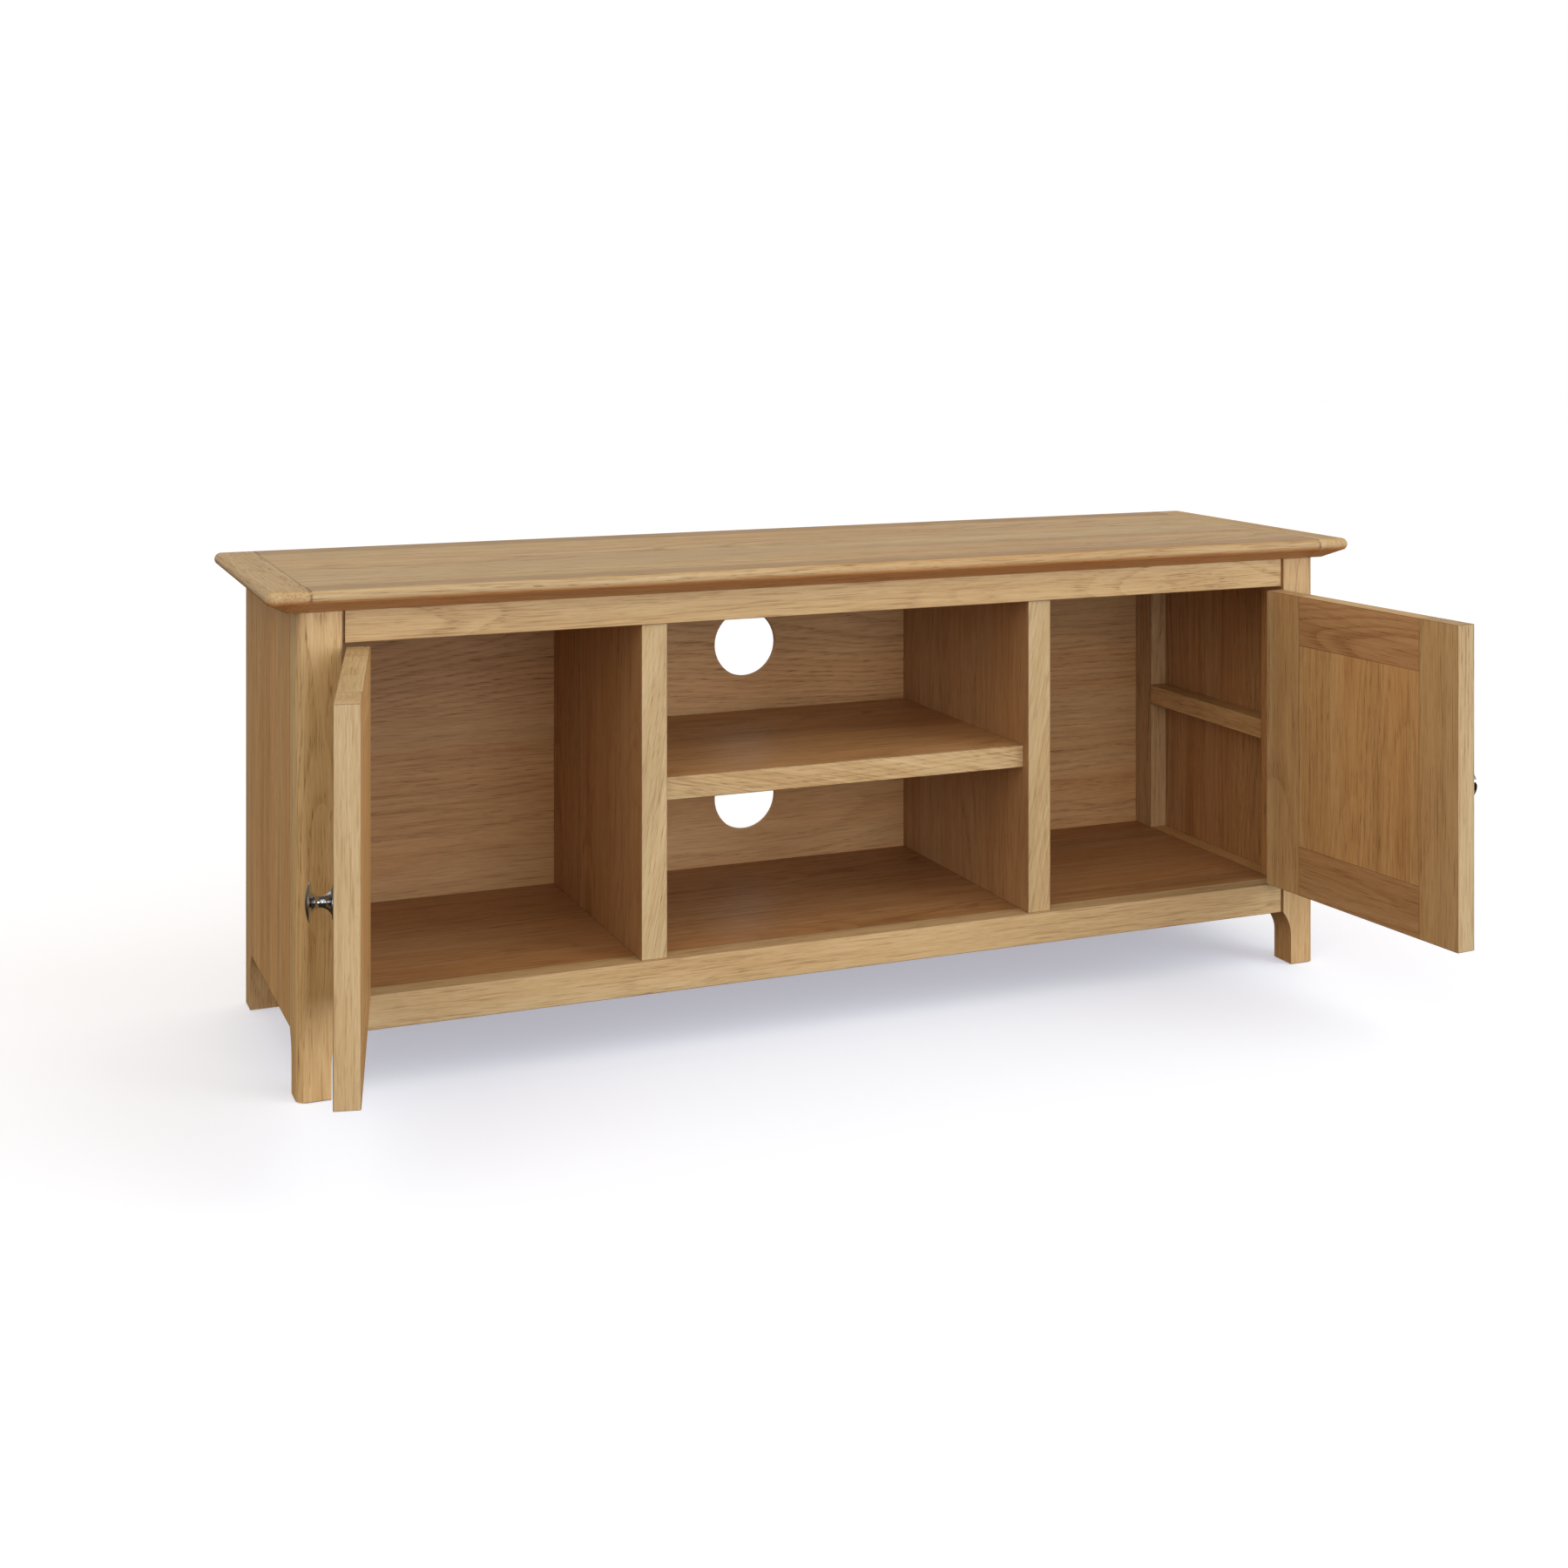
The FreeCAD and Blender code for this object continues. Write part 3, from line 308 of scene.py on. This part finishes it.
def growth_rings(shader, u, v, w, pith):
    """Early wood, from 0 to 1, in shells round a wandering pith: flat-sawn faces show arches."""
    place = shader.combine(u, v, w)
    wander = shader.math("SUBTRACT", shader.noise(place, PITH_WANDERS, detail=1.0), 0.5)
    ripple = shader.math("SUBTRACT", shader.noise(place, RIPPLES, detail=2.0), 0.5)
    depth = shader.math("ADD", w, pith)
    radius = shader.vector("LENGTH", shader.combine(0.0, v, depth), (0, 0, 0))
    radius = shader.math("MULTIPLY_ADD", wander, PITH_STRAY, radius)
    radius = shader.math("MULTIPLY_ADD", ripple, RIPPLE_HEIGHT, radius)
    count = shader.math("DIVIDE", radius, RING)
    uneven = shader.noise(shader.combine(count, 0.0, 0.0), (0.45, 1.0, 1.0), detail=1.0)
    count = shader.math("MULTIPLY_ADD", uneven, RING_UNEVENNESS, count)
    ring = shader.math("FRACT", count)
    start = shader.step(ring, 0.90, 1.0)
    fade = shader.step(ring, 0.0, 0.62, 1.0, 0.0)
    return shader.math("MAXIMUM", start, fade)


def with_painted_facing_shade(shader, facing, place, stain_and_shade, inner, under, over):
    """A board's colour with painted shade: colours of its own for the faces towards the cabinet's
    middle, down and up.
    """
    if inner:
        outwards = shader.math(
            "MULTIPLY",
            shader.vector("DOT_PRODUCT", facing, X_AXIS),
            shader.vector("DOT_PRODUCT", place, X_AXIS),
        )
        stain_and_shade = shader.mix(shader.math("LESS_THAN", outwards, 0.0), stain_and_shade, inner)
    rise = shader.vector("DOT_PRODUCT", facing, Z_AXIS)
    if under:
        stain_and_shade = shader.mix(shader.step(rise, -0.45, -0.25, 1.0, 0.0), stain_and_shade, under)
    if over:
        stain_and_shade = shader.mix(shader.step(rise, 0.93, 0.99), stain_and_shade, over)
    return stain_and_shade


def within_lip(shader, board, place, lip):
    """1 in the strip along the board's front edge, and 0 behind it."""
    front = min(vertex.co.y for vertex in frame["nodes"][board.node].data.vertices)
    depth = shader.math("SUBTRACT", shader.vector("DOT_PRODUCT", place, Y_AXIS), front)
    return shader.step(depth, lip, lip + 0.1 * MM, 1.0, 0.0)


def oak(
    board, stain_and_shade=PLAIN, inner=None, under=None, over=None, strip=None, tone=0.0, pith=0.09,
    lip=None, rings=0.12, lines=0.20, grain=1.0, joint=JOINT,
):
    """Lacquered oak for one board.

    stain is the board's colour against plain oak's; on the front left post it is paler as painted
    light over the shade of the open left door. inner, under and over are painted shade: colours
    of its own for its faces towards the cabinet's middle, down and up, if they differ. strip is
    the width of the strips that a wide board is glued up from, tone makes it lighter or darker,
    and pith is how far behind its middle its tree's was. lip is the thickness of a paler strip
    along its front edge. rings, lines and grain are how strongly its growth rings, its broad lines
    and all its figure show, and joint is the width of the dark line along its edges.
    """
    shader = Shader(f"oak_{board.node}")
    place = shader.add("ShaderNodeTexCoord").outputs["Object"]
    facing = shader.facing()
    places = [shader.vector("DOT_PRODUCT", place, way) for way in board.ways]
    edge = nearest_edge(shader, places, board)
    u = shader.math("ADD", places[0], board.rng.uniform(5, 20))
    v = shader.math("SUBTRACT", places[1], board.centres[1])
    w = shader.math("SUBTRACT", places[2], board.centres[2])
    shade = MIDDLE_TONE + tone + board.rng.uniform(-TONE_SPREAD, TONE_SPREAD)
    offset = board.rng.uniform(-0.5, 0.5) * min(board.halves[1], 60 * MM)
    ring_u, ring_v = u, shader.math("ADD", v, offset)
    if strip:
        ring_u, ring_v, pick = strips(shader, u, v, strip, board.rng)
        shade = shader.math("MULTIPLY_ADD", pick, STRIP_WEIGHT, shade)

    # Growth rings, which fade in and out over the board
    early = growth_rings(shader, ring_u, ring_v, w, pith)
    figure = shader.noise(shader.combine(ring_u, ring_v, w), FIGURE, detail=1.0)
    early = shader.math("MULTIPLY", early, shader.step(figure, 0.34, 0.66, 0.25, 1.0))

    # All the finer patterns follow one gentle wave in the grain
    waves = shader.noise(shader.combine(ring_u, ring_v, w), WAVES, detail=2.0)
    v_wavy = shader.math("MULTIPLY_ADD", waves, WAVE_HEIGHT, ring_v)
    w_slanted = w
    if lip:
        in_lip = within_lip(shader, board, place, lip)
        slant = shader.math("MULTIPLY", in_lip, LIP_SLANT)
        w_slanted = shader.math("MULTIPLY_ADD", slant, ring_u, w)
    path = shader.combine(ring_u, v_wavy, w_slanted)
    fibres = shader.noise(path, FIBRES, detail=2.0, roughness=0.7)
    bands = shader.noise(path, BANDS, detail=2.0, roughness=0.6)
    dashes = shader.step(shader.noise(path, DASHES, detail=1.0), 0.56, 0.70)
    streaks = shader.noise(path, STREAKS, detail=3.0, roughness=0.55)
    clouds = shader.noise(path, CLOUDS, detail=2.0)
    pores = shader.step(shader.noise(path, PORES, detail=1.0), 0.56, 0.68)
    pores = shader.math("MULTIPLY", pores, shader.step(early, 0.1, 0.9, 0.30, 1.0))

    # How light the wood is at each point, and from that its colour
    value = shader.math("MULTIPLY_ADD", early, -rings, shade)
    value = shader.math("MULTIPLY_ADD", dashes, DASH_WEIGHT * grain, value)
    for pattern, weight in (
        (fibres, FIBRE_WEIGHT),
        (bands, lines),
        (streaks, STREAK_WEIGHT),
        (clouds, CLOUD_WEIGHT),
    ):
        swing = shader.math("SUBTRACT", pattern, 0.5)
        value = shader.math("MULTIPLY_ADD", swing, weight * grain, value)
    ends = shader.math("ABSOLUTE", shader.vector("DOT_PRODUCT", facing, board.along))
    value = shader.math("MULTIPLY_ADD", shader.step(ends, 0.6, 0.9), END_GRAIN_TONE, value)
    if lip:
        value = shader.math("MULTIPLY_ADD", in_lip, LIP_TONE - tone, value)
        stain_and_shade = shader.mix(in_lip, stain_and_shade, LIP_STAIN)
    colour = shader.ramp(value, OAK_RAMP)
    warm = shader.noise(path, RUDDY_PATCHES, detail=2.0)
    colour = shader.mix(shader.step(warm, 0.35, 0.70), colour, RUDDY, blend="MULTIPLY")
    # Painted shade: the faces towards the cabinet's middle, down and up take colours of their own
    stain_and_shade = with_painted_facing_shade(shader, facing, place, stain_and_shade, inner, under, over)
    colour = shader.mix(1.0, colour, stain_and_shade, blend="MULTIPLY")
    colour = shader.mix(shader.math("MULTIPLY", pores, PORE_SHARE), colour, OAK_PORE)
    seam = shader.step(edge, 0.1 * MM, joint, JOINT_SHARE, 0.0)
    colour = shader.mix(seam, colour, OAK_PORE)
    shader.link(colour, shader.surface.inputs["Base Color"])

    # Satin lacquer, duller in the pores, over a faint relief
    rough = shader.math("MULTIPLY_ADD", pores, PORE_ROUGHNESS, ROUGHNESS)
    swing = shader.math("SUBTRACT", clouds, 0.5)
    rough = shader.math("MULTIPLY_ADD", swing, CLOUD_ROUGHNESS, rough)
    shader.link(rough, shader.surface.inputs["Roughness"])
    shader.surface.inputs["Specular IOR Level"].default_value = LACQUER_SPECULAR
    raised = shader.math("MULTIPLY", fibres, FIBRE_RELIEF)
    height = shader.math("MULTIPLY_ADD", pores, -1.0, raised)
    shader.link(shader.bump(height, RELIEF), shader.surface.inputs["Normal"])
    return shader.material


def dress(node, material):
    """Give a CAD node its material."""
    slots = frame["nodes"][node].data.materials
    if slots:
        for index in range(len(slots)):
            slots[index] = material
    else:
        slots.append(material)


BACK_POSTS = ["back_left_post", "back_right_post"]
RAILS = ["front_top_rail", "back_top_rail", "back_bottom_rail"]
CLEATS = [
    f"{side}_{level}_cleat" for side in ("left", "right") for level in ("lower", "middle", "upper")
]
DIVIDERS = ["left_divider", "right_divider"]
SIDE_PANELS = ["left_side_panel", "right_side_panel"]
END_BOARDS = ["top_left_end_board", "top_right_end_board"]
TOP_RAILS = ["top_front_rail", "top_back_rail"]
LEFT_DOOR = ["left_door_hinge_stile", "left_door_latch_stile", "left_door_panel"]
LEFT_DOOR_RAILS = ["left_door_top_rail", "left_door_bottom_rail"]
RIGHT_DOOR_RAILS = ["right_door_top_rail", "right_door_bottom_rail"]
RIGHT_DOOR_STILES = ["right_door_hinge_stile", "right_door_latch_stile"]
LIP = 1.2 * MM

# The closed cabinet's boards: the way of the grain, the way of the width, and oak()'s traits,
# whose colours for faces towards the middle, down and up are painted shade
BOARDS = (
    # The front left post's paler colour is painted light, lifting the shade of the open left door
    (["front_left_post"], Z_AXIS, X_AXIS, {"stain_and_shade": PAINTED_LIGHT_PALE, "pith": 0.045, "rings": 0.15}),
    (["front_right_post"], Z_AXIS, X_AXIS, {"inner": HONEY, "pith": 0.045}),
    (BACK_POSTS, Z_AXIS, X_AXIS, {"pith": 0.045}),
    (RAILS, X_AXIS, Z_AXIS, {"stain_and_shade": PALE, "pith": 0.05, "tone": -0.03}),
    (["front_bottom_rail"], X_AXIS, Z_AXIS, {"stain_and_shade": LINEN, "pith": 0.05, "tone": 0.03}),
    (CLEATS, Y_AXIS, Z_AXIS, {"stain_and_shade": TAWNY}),
    (DIVIDERS, Z_AXIS, Y_AXIS, {"stain_and_shade": RUSSET, "strip": 0.11, "lip": LIP}),
    (SIDE_PANELS, Z_AXIS, Y_AXIS, {"stain_and_shade": SANDY, "inner": UMBER, "strip": 0.13, "lines": 0.60}),
    (END_BOARDS, Y_AXIS, X_AXIS, {
        "stain_and_shade": ASHEN, "under": UNDERSIDE_SHADE, "rings": 0.05, "lines": 0.40, "joint": WIDE_JOINT,
    }),
    (TOP_RAILS, X_AXIS, Y_AXIS, {
        "stain_and_shade": ASHEN, "under": UNDERSIDE_SHADE, "over": TOP_FACE_SHADE, "joint": WIDE_JOINT,
    }),
    (["top_field_panel"], X_AXIS, Y_AXIS, {
        "stain_and_shade": DRIFTWOOD, "strip": 0.066, "joint": WIDE_JOINT,
    }),
    (["floor_panel"], X_AXIS, Y_AXIS, {"stain_and_shade": UMBER, "strip": 0.10, "lines": 0.60}),
    (["centre_shelf"], X_AXIS, Y_AXIS, {"stain_and_shade": HONEY, "strip": 0.10, "lip": LIP, "lines": 0.60}),
    (["back_panel"], X_AXIS, Z_AXIS, {"stain_and_shade": TAWNY, "strip": 0.185, "pith": 0.10, "grain": 0.8}),
    (LEFT_DOOR, Z_AXIS, X_AXIS, {"stain_and_shade": LINEN, "inner": DOOR_INNER_SHADE}),
    (LEFT_DOOR_RAILS, X_AXIS, Z_AXIS, {"stain_and_shade": LINEN, "inner": DOOR_INNER_SHADE}),
    (RIGHT_DOOR_STILES, Z_AXIS, X_AXIS, {"stain_and_shade": ASHEN, "inner": PLAIN, "tone": -0.05}),
    (RIGHT_DOOR_RAILS, X_AXIS, Z_AXIS, {"inner": RUSSET, "pith": 0.05, "rings": 0.20}),
    (["right_door_panel"], Z_AXIS, X_AXIS, {
        "inner": TAWNY, "strip": 0.12, "pith": 0.07, "tone": -0.05,
    }),
)


def dress_boards():
    for nodes, along, wide, traits in BOARDS:
        for node in nodes:
            dress(node, oak(Board(node, along, wide), **traits))


# ---------------------------------------------------------------- metals and dowels

def turned_dowel():
    """Plain beech with its fine short flecks."""
    shader = Shader("beech")
    place = shader.add("ShaderNodeTexCoord").outputs["Object"]
    flecks = shader.noise(place, (400.0, 400.0, 400.0), detail=3.0)
    colour = shader.mix(flecks, (0.50, 0.31, 0.17, 1.0), (0.62, 0.43, 0.27, 1.0))
    shader.link(colour, shader.surface.inputs["Base Color"])
    shader.surface.inputs["Roughness"].default_value = 0.7
    return shader.material


def metal(name, colour, roughness, smudge, scale):
    """A metal whose polish varies a little over its surface."""
    shader = Shader(name)
    place = shader.add("ShaderNodeTexCoord").outputs["Object"]
    cloud = shader.noise(place, (scale, scale, scale), detail=4.0)
    fine = shader.noise(place, (scale * 30, scale * 30, scale * 4), detail=2.0)
    varied = shader.math("MULTIPLY_ADD", cloud, smudge, roughness)
    varied = shader.math("MULTIPLY_ADD", fine, smudge * 0.4, varied)
    shader.link(varied, shader.surface.inputs["Roughness"])
    tint = shader.mix(cloud, colour, tuple(c * 0.93 for c in colour[:3]) + (1.0,))
    shader.link(tint, shader.surface.inputs["Base Color"])
    shader.surface.inputs["Metallic"].default_value = 1.0
    shader.link(shader.bump(fine, 0.01 * MM), shader.surface.inputs["Normal"])
    return shader.material


# By slot: the finish's name, its colour and roughness, and how much and how finely that varies
METALS = {
    "chrome": ("polished_chrome", (0.54, 0.55, 0.57, 1.0), 0.05, 0.06, 60.0),
    "hinge_steel": ("satin_hinge_steel", (0.62, 0.60, 0.56, 1.0), 0.22, 0.18, 90.0),
    "zinc_steel": ("zinc_plate", (0.66, 0.67, 0.66, 1.0), 0.30, 0.20, 120.0),
    "catch_steel": ("dull_nickel", (0.45, 0.43, 0.40, 1.0), 0.32, 0.20, 120.0),
}


def dress_metals_and_dowels():
    by_slot = {slot: metal(*finish) for slot, finish in METALS.items()}
    by_slot["beech"] = turned_dowel()
    for part in frame["record"]["subparts"]:
        if part["material_slot"] in by_slot:
            dress(part["node"], by_slot[part["material_slot"]])


# ---------------------------------------------------------------- stage, light and camera

FLOOR_DARK = (0.69, 0.79, 0.95, 1.0)
FLOOR_LIGHT = (0.72, 0.82, 0.98, 1.0)
FLOOR_GLOW = 0.34
FLOOR_GLOW_COLOUR = (1.0, 1.0, 1.14, 1.0)
FLOOR_RADIUS = 14.0
FLOOR_GAP = 0.5 * MM

# The room by the height of a direction, from -1 straight down to 1 straight up, and the light
# that comes from there: on plain surfaces, and in reflections
ROOM_LIGHT = (
    (-0.25, (0.10, 0.07, 0.04, 1.0)),
    (0.10, (0.88, 0.735, 0.536, 1.0)),
)
ROOM_REFLECTION = (
    (-0.30, (0.04, 0.03, 0.02, 1.0)),
    (-0.06, (0.21, 0.20, 0.18, 1.0)),
    (0.04, (0.78, 0.78, 0.78, 1.0)),
    (0.30, (0.64, 0.64, 0.64, 1.0)),
    (0.50, (0.10, 0.10, 0.10, 1.0)),
)
BACKDROP_COLOUR = (1.0, 1.0, 1.0, 1.0)
SUN_WIDTH = math.radians(45)

# Softboxes, all aimed at the cabinet's middle: place, size, power in watts and colour
AIM = (0, 0, 0.25)
SOFTBOXES = {
    "front_softbox": ((0, -3.3, 0.7), (1.8, 1.4), 25, (1.0, 1.0, 1.14)),
    "left_softbox": ((-2.4, -2.6, 0.7), (0.4, 1.4), 5, (1.0, 1.0, 1.0)),
    "right_softbox": ((2.4, -2.6, 0.7), (1.6, 1.4), 26, (1.0, 1.1, 1.1)),
}

# Very wide suns: strength, colour and the way they shine
SUNS = {
    "left_window": (0.38, (1.0, 0.95, 0.86), (0.60, 0.55, -0.58)),
    "right_window": (0.60, (1.0, 1.03, 1.0), (-0.60, 0.55, -0.58)),
}

# A level camera, in front of the cabinet's left end and turned to its right, with a fallen lens
CAMERA_PLACE = (-0.9116, -2.1745, 0.7466)
CAMERA_TURN = math.radians(-22.43)
LENS = 49.37
SENSOR = 36.0
FALL = -0.309


def stage_material():
    shader = Shader("pale_floor")
    place = shader.add("ShaderNodeTexCoord").outputs["Object"]
    cloud = shader.noise(place, (1.2, 1.2, 1.2), detail=3.0)
    colour = shader.mix(cloud, FLOOR_DARK, FLOOR_LIGHT)
    shader.link(colour, shader.surface.inputs["Base Color"])
    shader.surface.inputs["Roughness"].default_value = 0.7
    shader.surface.inputs["Emission Color"].default_value = FLOOR_GLOW_COLOUR
    shader.surface.inputs["Emission Strength"].default_value = FLOOR_GLOW
    return shader.material


def make_stage():
    """A pale floor, which shades under the cabinet but throws no light back up at it."""
    bpy.ops.mesh.primitive_circle_add(
        vertices=96, radius=FLOOR_RADIUS, fill_type="NGON", location=(0, 0, -FLOOR_GAP)
    )
    floor = bpy.context.object
    floor.name = "studio_floor"
    floor.data.materials.append(stage_material())
    floor.visible_diffuse = False
    floor.visible_glossy = False


def softbox(name, place, size, power, colour):
    data = bpy.data.lights.new(name, "AREA")
    data.shape = "RECTANGLE"
    data.size, data.size_y = size
    data.energy = power
    data.color = colour
    light = bpy.data.objects.new(name, data)
    light.location = place
    way = Vector(AIM) - Vector(place)
    light.rotation_euler = way.to_track_quat("-Z", "Y").to_euler()
    bpy.context.scene.collection.objects.link(light)


def sky_ramp(tree, height, stops):
    """World light by the height of a direction."""
    place = tree.nodes.new("ShaderNodeMapRange")
    place.inputs["From Min"].default_value = -1.0
    tree.links.new(height, place.inputs["Value"])
    ramp = tree.nodes.new("ShaderNodeValToRGB")
    while len(ramp.color_ramp.elements) < len(stops):
        ramp.color_ramp.elements.new(0.5)
    for element, (rise, colour) in zip(ramp.color_ramp.elements, stops):
        element.position = (rise + 1) / 2
        element.color = colour
    tree.links.new(place.outputs["Result"], ramp.inputs["Fac"])
    light = tree.nodes.new("ShaderNodeBackground")
    tree.links.new(ramp.outputs["Color"], light.inputs["Color"])
    return light.outputs["Background"]


def make_world():
    """Warm light from above, banded where it reflects, and a white backdrop for the camera."""
    world = bpy.data.worlds.new("studio")
    world.use_nodes = True
    tree = world.node_tree
    split = tree.nodes.new("ShaderNodeSeparateXYZ")
    tree.links.new(tree.nodes.new("ShaderNodeTexCoord").outputs["Generated"], split.inputs[0])
    backdrop = tree.nodes["Background"]
    backdrop.inputs["Color"].default_value = BACKDROP_COLOUR
    ray = tree.nodes.new("ShaderNodeLightPath")

    def choose(kind, otherwise, chosen):
        node = tree.nodes.new("ShaderNodeMixShader")
        tree.links.new(ray.outputs[kind], node.inputs["Fac"])
        tree.links.new(otherwise, node.inputs[1])
        tree.links.new(chosen, node.inputs[2])
        return node.outputs["Shader"]

    diffuse = sky_ramp(tree, split.outputs["Z"], ROOM_LIGHT)
    glossy = sky_ramp(tree, split.outputs["Z"], ROOM_REFLECTION)
    light = choose("Is Glossy Ray", diffuse, glossy)
    light = choose("Is Camera Ray", light, backdrop.outputs["Background"])
    tree.links.new(light, tree.nodes["World Output"].inputs["Surface"])
    bpy.context.scene.world = world


def sun(name, energy, colour, way):
    """A very wide sun, as soft as a big window."""
    data = bpy.data.lights.new(name, "SUN")
    data.energy = energy
    data.color = colour
    data.angle = SUN_WIDTH
    light = bpy.data.objects.new(name, data)
    light.rotation_euler = Vector(way).to_track_quat("-Z", "Y").to_euler()
    bpy.context.scene.collection.objects.link(light)


def make_light():
    make_world()
    for name, settings in SUNS.items():
        sun(name, *settings)
    for name, settings in SOFTBOXES.items():
        softbox(name, *settings)
    bpy.context.scene.view_settings.view_transform = "Standard"


def make_camera():
    data = bpy.data.cameras.new("camera")
    data.sensor_width = SENSOR
    data.lens = LENS
    data.shift_y = FALL
    camera = bpy.data.objects.new("camera", data)
    camera.location = CAMERA_PLACE
    camera.rotation_euler = (math.radians(90), 0, CAMERA_TURN)
    bpy.context.scene.collection.objects.link(camera)
    bpy.context.scene.camera = camera


dress_boards()
dress_metals_and_dowels()
make_stage()
make_light()
make_camera()
